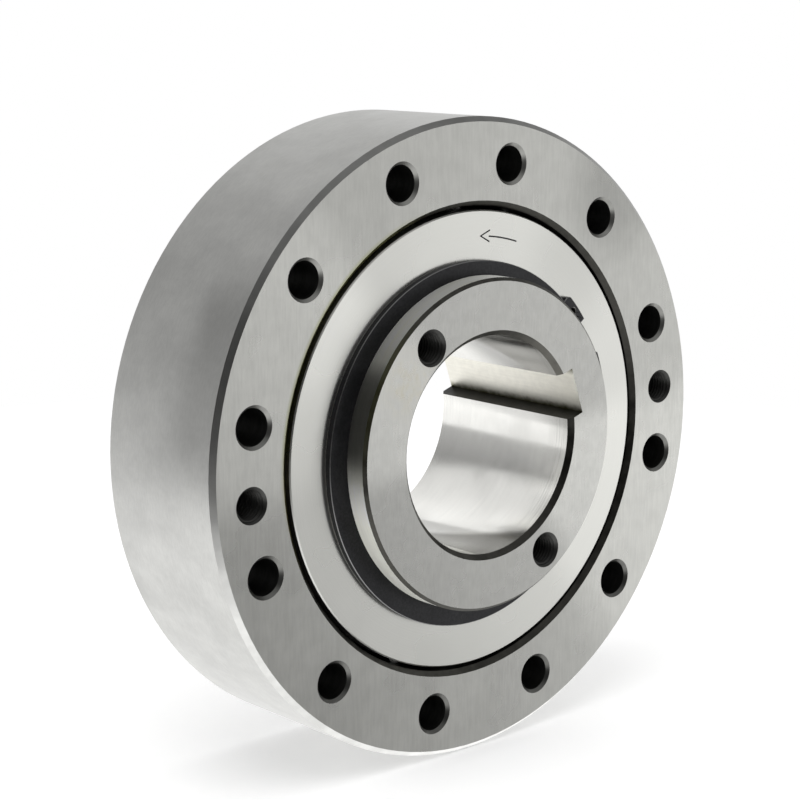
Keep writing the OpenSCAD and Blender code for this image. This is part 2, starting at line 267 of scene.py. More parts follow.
class Finish:
    """A material under construction, with the patterns that the steel finishes share.

    Turned and honed cylinders smear what they reflect along the clutch axis, by the anisotropic amount.
    """

    def __init__(self, name, roughness, anisotropic=0.0, metallic=1.0):
        self.material = bpy.data.materials.new(name)
        self.material.use_nodes = True
        self.tree = self.material.node_tree
        self.shader = self.tree.nodes["Principled BSDF"]
        self.set("Metallic", metallic)
        self.set("Roughness", roughness)
        if anisotropic:
            self.set("Anisotropic", anisotropic)
            self.set("Tangent", add(self.tree, "ShaderNodeCombineXYZ", 0.0, 1.0, 0.0))
        self.place = add(self.tree, "ShaderNodeTexCoord").outputs["Object"]
        self.x, self.y, self.z = add(self.tree, "ShaderNodeSeparateXYZ", self.place).outputs
        squares = self.calc("ADD", self.product(self.x, self.x), self.product(self.z, self.z))
        self.radius = self.calc("SQRT", squares)

    def set(self, name, value):
        """Feed one input of the shader."""
        feed(self.tree, self.shader.inputs[name], value)

    def calc(self, operation, *inputs):
        """A Math node's result in this material."""
        return calc(self.tree, operation, *inputs)

    def product(self, *inputs):
        """The inputs multiplied together."""
        result = inputs[0]
        for factor in inputs[1:]:
            result = self.calc("MULTIPLY", result, factor)
        return result

    def ramp(self, *inputs):
        """A value mapped smoothly and clamped from one range to another."""
        return ramp(self.tree, *inputs)

    def gain(self, share, full):
        """A gain of 1 where the share is 0, and the full gain where it is 1."""
        return self.ramp(share, 0.0, 1.0, 1.0, full)

    def noise(self, scale, stretch=(1, 1, 1), detail=3.0, roughness=0.55, at=None):
        """Noise from 0 to 1 with about this many waves per metre, along each axis in turn."""
        mapped = add(self.tree, "ShaderNodeMapping", at or self.place,
                     named={"Scale": [s * scale for s in stretch]})
        made = add(self.tree, "ShaderNodeTexNoise", mapped, noise_dimensions="3D",
                   named={"Scale": 1.0, "Detail": detail, "Roughness": roughness})
        return made.outputs[0]

    def turned(self, scale):
        """Noise in rings round the clutch axis, with this many waves per metre."""
        along = add(self.tree, "ShaderNodeCombineXYZ", self.radius, self.y, 0.0)
        return self.noise(scale, at=along)

    def towards(self, turn):
        """Distance in metres from the clutch axis towards an angle in degrees."""
        way = tuple(polar(1.0, math.radians(turn)))
        made = add(self.tree, "ShaderNodeVectorMath", self.place, way, operation="DOT_PRODUCT")
        return made.outputs["Value"]

    def facing(self, turn):
        """Cosine of the angle round the clutch axis from here to an angle in degrees."""
        return self.calc("DIVIDE", self.towards(turn), self.radius)

    def front(self):
        """1 near the front of the clutch and 0 behind it."""
        return self.ramp(self.y, -0.070, -0.060, 1.0, 0.0)

    def painted_sheen(self, turn):
        """Painted highlight: two opposite bright fans, as on a face turned in rings: 1 along this
        angle, 0 across it.
        """
        share = self.facing(turn)
        return self.calc("POWER", self.product(share, share), 3.0)

    def spot(self, turn, distance, reach):
        """Round area that fades from 1 to 0 within its reach.

        Its middle is given in degrees and metres from the clutch axis, seen along it.
        """
        flat = add(self.tree, "ShaderNodeCombineXYZ", self.x, 0.0, self.z)
        middle = tuple(polar(distance, math.radians(turn)))
        away = add(self.tree, "ShaderNodeVectorMath", flat, middle, operation="DISTANCE")
        return self.ramp(away.outputs["Value"], 0.0, reach, 1.0, 0.0)

    def tint(self, base, layers, *gains):
        """Base colour darkened or lightened by layers of (pattern, amount) and by plain gains."""
        levels = [self.ramp(pattern, *MIDDLE, 1 - amount, 1 + amount) for pattern, amount in layers]
        made = add(self.tree, "ShaderNodeVectorMath", tuple(base), operation="SCALE")
        feed(self.tree, made.inputs["Scale"], self.product(*levels, *gains))
        return made.outputs[0]

    def mix(self, factor, first, second):
        """Colour that goes from the first socket or colour to the second with the factor."""
        made = add(self.tree, "ShaderNodeMix", data_type="RGBA", clamp_factor=True)
        feed(self.tree, made.inputs[0], factor)
        for socket, tone in ((made.inputs[6], first), (made.inputs[7], second)):
            feed(self.tree, socket, tone if isinstance(tone, bpy.types.NodeSocket) else (*tone, 1))
        return made.outputs[2]

    def rough(self, pattern, low, high):
        """Roughness that follows a pattern."""
        self.set("Roughness", self.ramp(pattern, *MIDDLE, low, high))

    def bump(self, pattern, height, strength):
        """Relief of this height in metres."""
        self.set("Normal", add(self.tree, "ShaderNodeBump", named={
            "Strength": strength, "Distance": height, "Height": pattern}))

    def done(self, base):
        """Set the base colour and hand the material over."""
        self.set("Base Color", base)
        return self.material


def steel(context):
    """The scene's colours of the steel finishes."""
    return context.scene.clutch_steel


def flange_material(context):
    """Face ground in one direction, with the marks upright, a little oil beside the track, painted
    shade in a round area and painted highlight fans.
    """
    made = Finish("ground flange steel", roughness=0.3)
    streaks = made.noise(900, stretch=(1.0, 1.0, 0.10))
    cloud = made.noise(28)
    blotch = made.noise(110)
    made.rough(cloud, 0.25, 0.33)
    made.bump(streaks, height=0.02 * MM, strength=0.25)
    # Painted shade in a round area; the fans among the layers are a painted highlight
    painted_shade = made.gain(made.spot(turn=50, distance=0.158, reach=0.060), 0.72)
    layers = [(streaks, 0.035), (cloud, 0.04), (blotch, 0.03), (made.painted_sheen(SHEEN_TURN), 0.13)]
    tone = made.tint(steel(context).flange, layers, painted_shade, 1.04)
    beside_track = made.ramp(made.radius, 0.1198, 0.1222, 0.8, 0.0)
    oiled_side = made.ramp(made.towards(150), 0.08, 0.115)
    oiled = made.product(beside_track, oiled_side, made.front())
    return made.done(made.mix(oiled, tone, steel(context).face_oil))


def rim_material(context):
    """Turned outside with soft clouds, and painted shade beside its front edge on one side and towards
    the bottom.
    """
    made = Finish("turned rim steel", roughness=0.42, anisotropic=0.3)
    cloud = made.noise(16, stretch=(1.0, 1.6, 1.0), detail=4)
    smudge = made.noise(45, stretch=(1.0, 0.6, 1.0), detail=5, roughness=0.65)
    fine = made.noise(700, stretch=(0.4, 1.5, 0.4))
    made.rough(cloud, 0.36, 0.50)
    made.bump(fine, height=0.02 * MM, strength=0.15)
    # Painted shade beside the front edge on one side
    side = made.ramp(made.facing(PAINTED_SHADE_TURN), 0.92, 0.99)
    beside_front = made.ramp(made.y, -0.070, -0.035, 1.0, 0.0)
    painted_shade = made.gain(made.product(side, beside_front), 0.78)
    # Painted shade, darker towards the bottom
    low = made.ramp(made.z, -0.070, -0.020, 0.92, 1.0)
    layers = [(cloud, 0.09), (smudge, 0.06), (fine, 0.03)]
    return made.done(made.tint(steel(context).rim, layers, painted_shade, low))


def chamfer_material(name, base, bottom, top):
    """Machined chamfer with painted light and shade: one gain at the bottom of the clutch and another
    at the top.
    """
    made = Finish(name, roughness=0.34)
    cloud = made.noise(90)
    # The gains by height are painted light and shade
    return made.done(made.tint(base, [(cloud, 0.08)], made.ramp(made.z, -0.13, 0.13, bottom, top)))


def hole_material(context):
    """Drilled wall with faint rings, painted dark for the shade inside the hole."""
    made = Finish("drilled hole steel", roughness=0.45)
    rings = made.noise(500, stretch=(0.2, 1.0, 0.2))
    return made.done(made.tint(steel(context).hole, [(rings, 0.15)]))


def hub_material(context):
    """Fine ground hub face with painted highlight fans and a faint brown stain."""
    made = Finish("ground hub steel", roughness=0.30)
    streaks = made.noise(1000, stretch=(1.0, 1.0, 0.14))
    cloud = made.noise(35)
    blotch = made.noise(160)
    made.rough(cloud, 0.24, 0.31)
    made.bump(streaks, height=0.02 * MM, strength=0.2)
    # The fans among the layers are a painted highlight
    layers = [(streaks, 0.03), (cloud, 0.03), (blotch, 0.03), (made.painted_sheen(SHEEN_TURN + 2), 0.15)]
    tone = made.tint(steel(context).hub, layers, 1.03)
    stained = made.spot(turn=146, distance=0.066, reach=0.024)
    stained = made.product(stained, made.ramp(blotch, 0.30, 0.80))
    return made.done(made.mix(stained, tone, steel(context).stain))


def edge_material(context):
    """Chamfer or track wall darkened by oil, olive where the oil is thick, with a painted highlight in
    one round area.
    """
    made = Finish("oil-dark steel", roughness=0.35)
    cloud = made.noise(120)
    made.rough(cloud, 0.3, 0.45)
    # Painted highlight: a lighter round area on the chamfers
    lit = made.gain(made.spot(turn=42, distance=0.056, reach=0.040), 1.9)
    tone = made.tint(steel(context).edge, [(cloud, 0.25)], lit)
    oiled = made.product(made.front(), made.ramp(made.towards(155), 0.070, 0.105))
    return made.done(made.mix(oiled, tone, steel(context).edge_oil))


def key_wall_material(context):
    """Broached keyway wall in oil-dark steel, lightest near the bore and black towards the floor with
    painted shade in the corner.
    """
    made = Finish("oiled keyway wall", roughness=0.40)
    cloud = made.noise(200)
    depth = made.towards(math.degrees(context.scene.clutch_threads.key_angle))
    # Painted shade: darker towards the corner at the keyway floor
    clear_of_corner = made.ramp(depth, 0.0535, 0.0595, 1.0, 0.25)
    return made.done(made.tint(steel(context).edge, [(cloud, 0.2)], clear_of_corner, 0.62))


def side_material(context):
    """Satin side of the hub, with fine lines round the axis and painted shade on one side."""
    made = Finish("satin hub steel", roughness=0.60, anisotropic=1.0)
    lines = made.noise(800, stretch=ROUND_LINES)
    cloud = made.noise(40)
    made.rough(cloud, 0.57, 0.63)
    made.bump(lines, height=0.01 * MM, strength=0.15)
    # Painted shade: a dark band on one side of the hub
    painted_shade = made.ramp(made.facing(PAINTED_SHADE_TURN), 0.940, 0.985, 1.0, 0.45)
    return made.done(made.tint(steel(context).side, [(lines, 0.03), (cloud, 0.04)], painted_shade))


def polished_material(context):
    """Polished bore with fine lines round the axis, clearest near its front end.

    Its colour is darkened where it would see itself twice, a painted reflection. Each dark zone starts
    at a line that slants round the bore.
    """
    made = Finish("polished bore steel", roughness=0.2, anisotropic=0.7)
    lines = made.noise(900, stretch=ROUND_LINES)
    cloud = made.noise(40)
    made.rough(cloud, 0.14, 0.24)
    made.bump(lines, height=0.01 * MM, strength=0.08)
    near_front = made.ramp(made.y, -0.090, -0.078, 1.0, 0.0)
    scratches = made.product(near_front, made.noise(1500, stretch=(0.02, 1.0, 0.02)))
    rings = made.ramp(scratches, 0.45, 0.60, 1.0, 0.90)
    turn = made.calc("ARCTAN2", made.z, made.x)

    def slanted(start, slope):
        """Angle round the axis, plus a slope in radians per metre from a start along the axis."""
        return made.calc("ADD", turn, made.product(made.calc("SUBTRACT", made.y, start), slope))

    def zone(value, low, high, out_low, out_high):
        """Ramp between two angles in degrees."""
        return made.ramp(value, math.radians(low), math.radians(high), out_low, out_high)

    # Painted reflection: two dark zones, low and high in the bore
    lower = made.calc("MAXIMUM", zone(slanted(-0.085, 8.7), -70, -63, 0.42, 1.0),
                      zone(turn, -100, -95, 1.0, 0.0))
    upper = made.calc("MAXIMUM", zone(slanted(-0.087, -13.4), -8, 20, 1.0, 0.52),
                      zone(turn, 95, 115, 0.0, 1.0))
    layers = [(lines, 0.015), (cloud, 0.03)]
    return made.done(made.tint(steel(context).polished, layers, rings, lower, upper))


def keyway_material(context):
    """Broached keyway floor with lines along the axis, and dark olive in its two corners that is old
    oil and painted shade.
    """
    made = Finish("broached keyway steel", roughness=0.42)
    lines = made.noise(900, stretch=(1.0, 0.04, 1.0))
    blots = made.noise(260)
    made.bump(lines, height=0.01 * MM, strength=0.1)
    sizes = context.scene.clutch_threads
    across = made.calc("ABSOLUTE", made.towards(math.degrees(sizes.key_angle) + 90))
    from_wall = made.calc("SUBTRACT", sizes.key_width / 2, across)
    from_wall = made.calc("SUBTRACT", from_wall, made.product(blots, 3 * MM))
    # Dark olive near the walls: old oil, and painted shade in the corners
    clear_of_corner = made.ramp(from_wall, -2.2 * MM, 2.8 * MM)
    tone = made.tint(steel(context).keyway, [(lines, 0.025), (blots, 0.03)])
    return made.done(made.mix(clear_of_corner, steel(context).oil, tone))


def cage_material(context):
    """Bright ground ring, with painted shade in one round area, painted light in another and painted
    highlight fans.
    """
    made = Finish("bright cage steel", roughness=0.26)
    cloud = made.noise(22)
    rings = made.turned(1400)
    made.rough(cloud, 0.24, 0.32)
    made.bump(rings, height=0.01 * MM, strength=0.12)
    # Painted shade and painted light in two round areas
    painted_shade = made.gain(made.spot(turn=50, distance=0.112, reach=0.060), 0.86)
    light = made.gain(made.spot(turn=145, distance=0.112, reach=0.050), 1.14)
    layers = [(cloud, 0.03), (rings, 0.02), (made.painted_sheen(SHEEN_TURN), 0.07)]
    return made.done(made.tint(steel(context).cage, layers, painted_shade, light))


def circlip_material(context):
    """Black oxide with a slight sheen."""
    made = Finish("black oxide steel", roughness=0.38, metallic=0.7)
    grain = made.noise(1200)
    cloud = made.noise(60)
    made.rough(cloud, 0.32, 0.46)
    made.bump(grain, height=0.02 * MM, strength=0.2)
    return made.done(made.tint(steel(context).circlip, [(grain, 0.2), (cloud, 0.2)]))


def plain_material(name, base, roughness, scale, stretch=(1, 1, 1)):
    """Steel of a small piece, with marks of one kind."""
    made = Finish(name, roughness)
    marks = made.noise(scale, stretch)
    made.bump(marks, height=0.01 * MM, strength=0.2)
    made.rough(marks, roughness * 0.85, roughness * 1.15)
    return made.done(made.tint(base, [(marks, 0.08)]))


def wear(name, material):
    """Give a CAD node its finish."""
    slots = frame["nodes"][name].data.materials
    slots.clear()
    slots.append(material)


def new_object(name, data):
    """A new object in the scene."""
    made = bpy.data.objects.new(name, data)
    bpy.context.scene.collection.objects.link(made)
    return made


def area_lamp(name, shape, width, height, power):
    """A soft lamp in the scene."""
    lamp = bpy.data.lights.new(name, "AREA")
    lamp.shape = shape
    lamp.size, lamp.size_y = width, height
    lamp.energy = power
    return new_object(name, lamp)


def merged_copy(node, finishes, kind_of, drop=lambda face: False):
    """A copy of a CAD node with merged points, a finish for each kind of face and some left out."""
    mesh = frame["nodes"][node].data.copy()
    mesh.name = node + "_body"
    if "custom_normal" in mesh.attributes:
        mesh.attributes.remove(mesh.attributes["custom_normal"])
    work = bmesh.new()
    work.from_mesh(mesh)
    bmesh.ops.remove_doubles(work, verts=work.verts, dist=SAME_POINT)
    bmesh.ops.delete(work, geom=[face for face in work.faces if drop(face)], context="FACES")
    order = list(finishes)
    for face in work.faces:
        face.smooth = True
        face.material_index = order.index(kind_of(face))
    for edge in work.edges:
        edge.smooth = len(edge.link_faces) == 2 and edge.calc_face_angle(0) < SHARP_EDGE
    mesh.materials.clear()
    work.to_mesh(mesh)
    work.free()
    for finish in finishes.values():
        mesh.materials.append(finish)
    return new_object(node + "_body", mesh)


def polar(radius, turn, y=0.0):
    """A point at a distance from the clutch axis and an angle in radians."""
    return Vector((radius * math.cos(turn), y, radius * math.sin(turn)))


def off_axis(point):
    """Distance of a point from the clutch axis."""
    return math.hypot(point.x, point.z)


def near(face, centres, radius):
    """Whether a face lies within a radius of one of the hole centres, seen along the axis."""
    return any(all(off_axis(v.co - c) < radius for v in face.verts) for c in centres)


def is_flat(face):
    """Whether a face lies square to the clutch axis."""
    return abs(face.normal.y) > 0.99


def mount_size(name, key):
    """A mount's size in metres."""
    return MOUNTS[name]["dims"][key] * MM


def nodes_modifier(piece, tree, **values):
    """Put a Geometry Nodes tree on an object, with its inputs set by identifier."""
    modifier = piece.modifiers.new(tree.name, "NODES")
    modifier.node_group = tree
    sockets = {item.name: item.identifier for item in tree.interface.items_tree
               if item.item_type == "SOCKET" and item.in_out == "INPUT"}
    for name, value in values.items():
        modifier[sockets[name.replace("_", " ").capitalize()]] = value


def path_object(name, points, edges=()):
    """A new object with these points and edges."""
    mesh = bpy.data.meshes.new(name)
    mesh.from_pydata([tuple(point) for point in points], edges, [])
    return new_object(name, mesh)


def settled(piece, name):
    """Turn an object and its modifiers into a plain mesh object, and remove the first one."""
    bpy.context.view_layer.update()
    graph = bpy.context.evaluated_depsgraph_get()
    mesh = bpy.data.meshes.new_from_object(piece.evaluated_get(graph), depsgraph=graph)
    mesh.name = name
    piece.modifiers.clear()
    bpy.data.objects.remove(piece)
    return new_object(name, mesh)


def new_tree(name, numbers, counts):
    """A Geometry Nodes tree with a geometry in and out, and inputs for numbers and whole numbers."""
    tree = bpy.data.node_groups.new(name, "GeometryNodeTree")
    for way in ("INPUT", "OUTPUT"):
        tree.interface.new_socket("Geometry", in_out=way, socket_type="NodeSocketGeometry")
    for inputs, kind in ((numbers, "NodeSocketFloat"), (counts, "NodeSocketInt")):
        for given in inputs:
            tree.interface.new_socket(given, in_out="INPUT", socket_type=kind)
    return tree, tree.nodes.new("NodeGroupInput").outputs


def finish_tree(tree, geometry, material):
    """End a tree in Realize Instances and Set Material."""
    real = add(tree, "GeometryNodeRealizeInstances", geometry)
    dressed = add(tree, "GeometryNodeSetMaterial", real, named={"Material": material})
    add(tree, "NodeGroupOutput", dressed)


def thread_tree(material):
    """Tree that puts a threaded wall at each point of the object, mouth first and along Y."""
    numbers = ("Core", "Height", "Pitch", "Depth", "Mouth", "Far end")
    tree, given = new_tree("threaded walls", numbers, ("Around", "Rows"))
    turns = calc(tree, "DIVIDE", given["Depth"], given["Pitch"])
    rows = calc(tree, "MULTIPLY", turns, given["Rows"])
    grid = add(tree, "GeometryNodeMeshGrid", 1.0, 1.0, calc(tree, "ADD", given["Around"], 1.0),
               calc(tree, "ADD", rows, 1.0))
    x, y, _ = add(tree, "ShaderNodeSeparateXYZ", add(tree, "GeometryNodeInputPosition")).outputs
    share = calc(tree, "ADD", x, 0.5)
    turn = calc(tree, "MULTIPLY", share, math.tau)
    down = calc(tree, "MULTIPLY", calc(tree, "ADD", y, 0.5), given["Depth"])
    wound = calc(tree, "SUBTRACT", calc(tree, "DIVIDE", down, given["Pitch"]), share)
    phase = calc(tree, "FRACT", wound)
    slope = calc(tree, "ABSOLUTE", calc(tree, "SUBTRACT", calc(tree, "MULTIPLY", phase, 2.0), 1.0))
    flank = calc(tree, "DIVIDE", calc(tree, "SUBTRACT", slope, THREAD_FLAT), THREAD_FLANK, clamp=True)
    left = calc(tree, "SUBTRACT", given["Depth"], down)
    run_out = calc(tree, "DIVIDE", left, given["Pitch"], clamp=True)
    groove = calc(tree, "MULTIPLY", calc(tree, "MULTIPLY", flank, run_out), given["Height"])
    mouth = calc(tree, "SUBTRACT", given["Mouth"], down)
    far_end = calc(tree, "SUBTRACT", given["Far end"], left)
    deepest = calc(tree, "MAXIMUM", groove, calc(tree, "MAXIMUM", mouth, far_end))
    radius = calc(tree, "ADD", given["Core"], deepest)
    place = add(tree, "ShaderNodeCombineXYZ",
                calc(tree, "MULTIPLY", radius, calc(tree, "COSINE", turn)), down,
                calc(tree, "MULTIPLY", radius, calc(tree, "SINE", turn)))
    wall = add(tree, "GeometryNodeSetPosition", grid, named={"Position": place})
    closed = add(tree, "GeometryNodeMergeByDistance", wall, named={"Distance": SAME_POINT / 2})
    smooth = add(tree, "GeometryNodeSetShadeSmooth", closed)
    points = add(tree, "GeometryNodeMeshToPoints", given["Geometry"])
    copies = add(tree, "GeometryNodeInstanceOnPoints", points, named={"Instance": smooth})
    finish_tree(tree, copies, material)
    return tree


def threaded_walls(sizes, name, mouths, core, depth, mouth, far_end, material):
    """Thread surfaces of like tapped holes as one mesh, with chamfers at the mouth and far end."""
    piece = path_object(name + "_points", mouths)
    nodes_modifier(piece, thread_tree(material), core=core, height=THREAD_HEIGHT * sizes.pitch,
                   pitch=sizes.pitch, depth=depth, mouth=mouth, far_end=far_end,
                   around=sizes.around, rows=sizes.rows)
    return settled(piece, name)


def wire_tree(material):
    """Tree that sweeps a round wire along the object's edges and turns it round the clutch axis."""
    tree, given = new_tree("wire spring", ("Wire", "Turn"), ("Sides",))
    path = add(tree, "GeometryNodeMeshToCurve", given["Geometry"])
    ring = add(tree, "GeometryNodeCurvePrimitiveCircle", named={
        "Resolution": given["Sides"], "Radius": calc(tree, "MULTIPLY", given["Wire"], 0.5)})
    wire = add(tree, "GeometryNodeCurveToMesh", named={
        "Curve": path, "Profile Curve": ring, "Fill Caps": True})
    smooth = add(tree, "GeometryNodeSetShadeSmooth", wire)
    turn = add(tree, "ShaderNodeCombineXYZ", 0.0, given["Turn"], 0.0)
    placed = add(tree, "GeometryNodeTransform", smooth, named={"Rotation": turn})
    finish_tree(tree, placed, material)
    return tree


def spring_path(sizes, tang_end, front):
    """Middle of the wire of the spring at the top: its tang, bend, coil and long leg."""
    def at(turn, along, y):
        """A point beside the coil's circle, off along the direction in which the wire winds."""
        reach = polar(sizes.coil, turn, y) + along * Vector((math.sin(turn), 0, -math.cos(turn)))
        return reach + Vector((0, 0, sizes.pivot))

    bend_start = sizes.start + sizes.bend
    path = [at(sizes.tang_angle, 0, tang_end + share * (bend_start - tang_end)) for share in (0, 0.5)]
    for step in range(BEND_STEPS + 1):
        turn = math.pi / 2 * step / BEND_STEPS
        path.append(at(sizes.tang_angle, sizes.bend * (1 - math.cos(turn)),
                       bend_start - sizes.bend * math.sin(turn)))
    first = sizes.tang_angle - sizes.bend / sizes.coil
    last = sizes.leg_angle - math.tau * sizes.turns
    steps = TURN_STEPS * sizes.turns
    for step in range(1, steps + 1):
        share = step / steps
        path.append(at(first + share * (last - first), 0, sizes.start + share * (front - sizes.start)))
    path += [at(last, share * sizes.leg, front) for share in (0.05, 0.5, 1.0)]
    return path


def engraved(name, strokes, width, y, depth, material):
    """Closed flat strokes of one width along lines of points in a plane square to the clutch axis."""
    shape = bmesh.new()
    for line in strokes:
        rows = []
        for place, point in enumerate(line):
            before, after = line[max(place - 1, 0)], line[min(place + 1, len(line) - 1)]
            ways = [(point - before).normalized(), (after - point).normalized()]
            way = (ways[0] + ways[1]).normalized()
            side = Vector((-way.z, 0, way.x)) * width / 2
            if 0 < place < len(line) - 1:
                # The stroke keeps its width round a bend, up to a mitre of twice that width
                side /= max(way.dot(ways[0]), 0.5)
            rows.append([shape.verts.new((point.x + sign * side.x, level, point.z + sign * side.z))
                         for sign, level in ((-1, y), (1, y), (1, y + depth), (-1, y + depth))])
        for one, two in zip(rows, rows[1:]):
            for k in range(4):
                shape.faces.new((one[k], one[k - 1], two[k - 1], two[k]))
        shape.faces.new(rows[0])
        shape.faces.new(rows[-1][::-1])
    bmesh.ops.recalc_face_normals(shape, faces=shape.faces)
    mesh = bpy.data.meshes.new(name)
    shape.to_mesh(mesh)
    shape.free()
    mesh.materials.append(material)
    return new_object(name, mesh)


class CLUTCH_OT_outer_race(bpy.types.Operator):
    """Make the outer race with its ground faces and two jack threads"""
    bl_idname = "clutch.outer_race"
    bl_label = "Outer race"

    def execute(self, context):
        sizes = context.scene.clutch_threads
        jack_circle = mount_size("jack_screws", "pcd_mm") / 2
        mouths = [polar(jack_circle, sizes.jack_angle + half * math.pi, FRONT_Y) for half in (0, 1)]
        core = mount_size("jack_screws", "hole_r_mm")
        tapped_edge = core + sizes.jack_chamfer + MARGIN
        bolt_circle = mount_size("flange_bolts", "pcd_mm") / 2
        bolt_edge = mount_size("flange_bolts", "hole_r_mm") + sizes.jack_chamfer
        drilled = hole_material(context)
        finishes = {
            "flange": flange_material(context),
            "rim": rim_material(context),
            "hole": drilled,
            "track": edge_material(context),
            # The last two numbers of each chamfer are painted light and shade, at the bottom and at the
            # top
            "rim chamfer": chamfer_material("turned chamfer", steel(context).rim, 1.22, 0.48),
            "hole chamfer": chamfer_material("drilled chamfer", steel(context).mouth, 0.55, 1.2)}

        def kind_of(face):
            if is_flat(face):
                return "flange"
            away = off_axis(face.calc_center_median())
            slanted = abs(face.normal.y) > 0.3
            if abs(away - bolt_circle) < bolt_edge:
                return "hole chamfer" if slanted else "hole"
            if away > bolt_circle:
                return "rim chamfer" if slanted else "rim"
            return "track"

        def tapped(face):
            return not is_flat(face) and near(face, mouths, tapped_edge)

        piece = merged_copy("outer_race", finishes, kind_of, tapped)
        threads = threaded_walls(sizes, "jack_threads", mouths, core, abs(FRONT_Y),
                                 sizes.jack_chamfer, sizes.jack_chamfer, drilled)
        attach(piece, "outer")
        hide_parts("outer_race")
        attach(threads, "outer")
        return {"FINISHED"}


class CLUTCH_OT_inner_race(bpy.types.Operator):
    """Make the inner race with its hub, bore, keyway and two puller threads"""
    bl_idname = "clutch.inner_race"
    bl_label = "Inner race"

    def execute(self, context):
        sizes = context.scene.clutch_threads
        places = [MOUNTS["puller_thread_" + end]["pos_m"] for end in ("upper", "lower")]
        mouths = [Vector((x, HUB_FRONT_Y, z)) for x, _, z in places]
        core = mount_size("puller_thread_upper", "r_mm")
        tapped_edge = core + sizes.puller_chamfer + MARGIN
        floor = HUB_FRONT_Y + sizes.puller_depth + MARGIN
        bore = mount_size("shaft_bore", "r_mm")
        past_keyway = bore + sizes.key_width / 2
        key_way = polar(1.0, sizes.key_angle)
        drilled = hole_material(context)
        finishes = {
            "hub": hub_material(context),
            "bore": polished_material(context),
            "keyway floor": keyway_material(context),
            "hole": drilled,
            "chamfer": edge_material(context),
            "side": side_material(context),
            "keyway wall": key_wall_material(context)}

        def kind_of(face):
            if is_flat(face):
                return "hub"
            if near(face, mouths, tapped_edge):
                return "hole"
            if abs(face.normal.y) > 0.1:
                return "chamfer"
            middle = face.calc_center_median()
            if off_axis(middle) > past_keyway:
                return "side"
            inward = -Vector((middle.x, 0, middle.z)).normalized().dot(face.normal)
            if inward > 0.995 and off_axis(middle) < bore + 5 * MARGIN:
                return "bore"
            return "keyway floor" if abs(face.normal.dot(key_way)) > 0.5 else "keyway wall"

        def tapped(face):
            return (not is_flat(face) and near(face, mouths, tapped_edge)
                    and all(v.co.y < floor for v in face.verts))

        piece = merged_copy("inner_race", finishes, kind_of, tapped)
        threads = threaded_walls(sizes, "puller_threads", mouths, core, sizes.puller_depth,
                                 sizes.puller_chamfer, 0.0, drilled)
        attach(piece, "inner")
        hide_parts("inner_race")
        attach(threads, "inner")
        return {"FINISHED"}


class CLUTCH_OT_cage(bpy.types.Operator):
    """Give the cage rings and pins their finish"""
    bl_idname = "clutch.cage"
    bl_label = "Cage"

    def execute(self, context):
        bright = cage_material(context)
        wear("cage_front_ring", bright)
        wear("cage_rear_ring", bright)
        wear("cage_pins", plain_material("drawn pin steel", steel(context).pin, 0.3, 800, (1, 0.05, 1)))
        return {"FINISHED"}


class CLUTCH_OT_circlips(bpy.types.Operator):
    """Make the circlips, black with their stamped edges rubbed bright"""
    bl_idname = "clutch.circlips"
    bl_label = "Circlips"

    def execute(self, context):
        rubbed = plain_material("rubbed edge steel", steel(context).rubbed, 0.35, 900)
        finishes = {"black": circlip_material(context), "rubbed": rubbed}
        for node in ("front_circlip", "rear_circlip"):
            piece = merged_copy(node, finishes, lambda face: "black")
            bevel = piece.modifiers.new("broken edges", "BEVEL")
            bevel.width = steel(context).broken
            bevel.segments = 1
            bevel.limit_method = "ANGLE"
            bevel.angle_limit = math.radians(40)
            bevel.material = list(finishes).index("rubbed")
            piece = settled(piece, node + "_body")
            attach(piece, "inner")
            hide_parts(node)
        return {"FINISHED"}


class CLUTCH_OT_sprags(bpy.types.Operator):
    """Give the sprags their ground steel"""
    bl_idname = "clutch.sprags"
    bl_label = "Sprags"

    def execute(self, context):
        ground = plain_material("ground sprag steel", steel(context).sprag, 0.28, 700, (1, 0.06, 1))
        for name in SPRAGS:
            wear(name, ground)
        return {"FINISHED"}


class CLUTCH_OT_springs(bpy.types.Operator):
    """Make the leg springs round the sprags' front trunnions"""
    bl_idname = "clutch.springs"
    bl_label = "Springs"

    def execute(self, context):
        sizes = context.scene.clutch_springs
        tree = wire_tree(plain_material("drawn spring wire", steel(context).wire, 0.34, 1500))
        top = self.angle(SPRINGS[-1])
        low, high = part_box(SPRINGS[-1])
        front = low.y + sizes.wire / 2
        points = spring_path(sizes, high.y, front)
        edges = list(zip(range(len(points)), range(1, len(points))))
        pitch = math.tau / len(SPRINGS)
        for node, sprag in zip(SPRINGS, SPRAGS):
            piece = path_object("spring_path", points, edges)
            turn = round((self.angle(node) - top) / pitch) * pitch
            nodes_modifier(piece, tree, wire=sizes.wire, sides=sizes.sides, turn=-turn)
            spring = settled(piece, node + "_wire")
            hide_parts(node)
            pivot = polar(sizes.pivot, math.pi / 2 + turn)
            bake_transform(spring)
        return {"FINISHED"}

    def angle(self, node):
        """Angle of a node round the clutch axis, from the middle of its box."""
        low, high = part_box(node)
        return math.atan2(low.z + high.z, low.x + high.x)


class CLUTCH_OT_arrow(bpy.types.Operator):
    """Make the etched arrow that shows the inner race's free direction"""
    bl_idname = "clutch.arrow"
    bl_label = "Direction arrow"

    def execute(self, context):
        sizes = context.scene.clutch_mark
        steps = 16
        sweep = sizes.neck - sizes.tail
        shaft = [polar(sizes.radius, sizes.tail + sweep * k / steps) for k in range(steps + 1)]
        tip = polar(sizes.radius, sizes.tip)
        back = sizes.tip - math.pi / 2
        barbs = [tip + polar(sizes.barb, back + side * sizes.spread) for side in (1, -1)]
        head = [barbs[0], tip, barbs[1]]
        black = plain_material("etched mark", steel(context).mark, 0.5, 900)
        arrow = engraved("direction_arrow", (shaft, head), sizes.stroke, RING_FRONT_Y - sizes.proud,
                         2 * sizes.proud, black)
        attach(arrow, "inner")
        return {"FINISHED"}


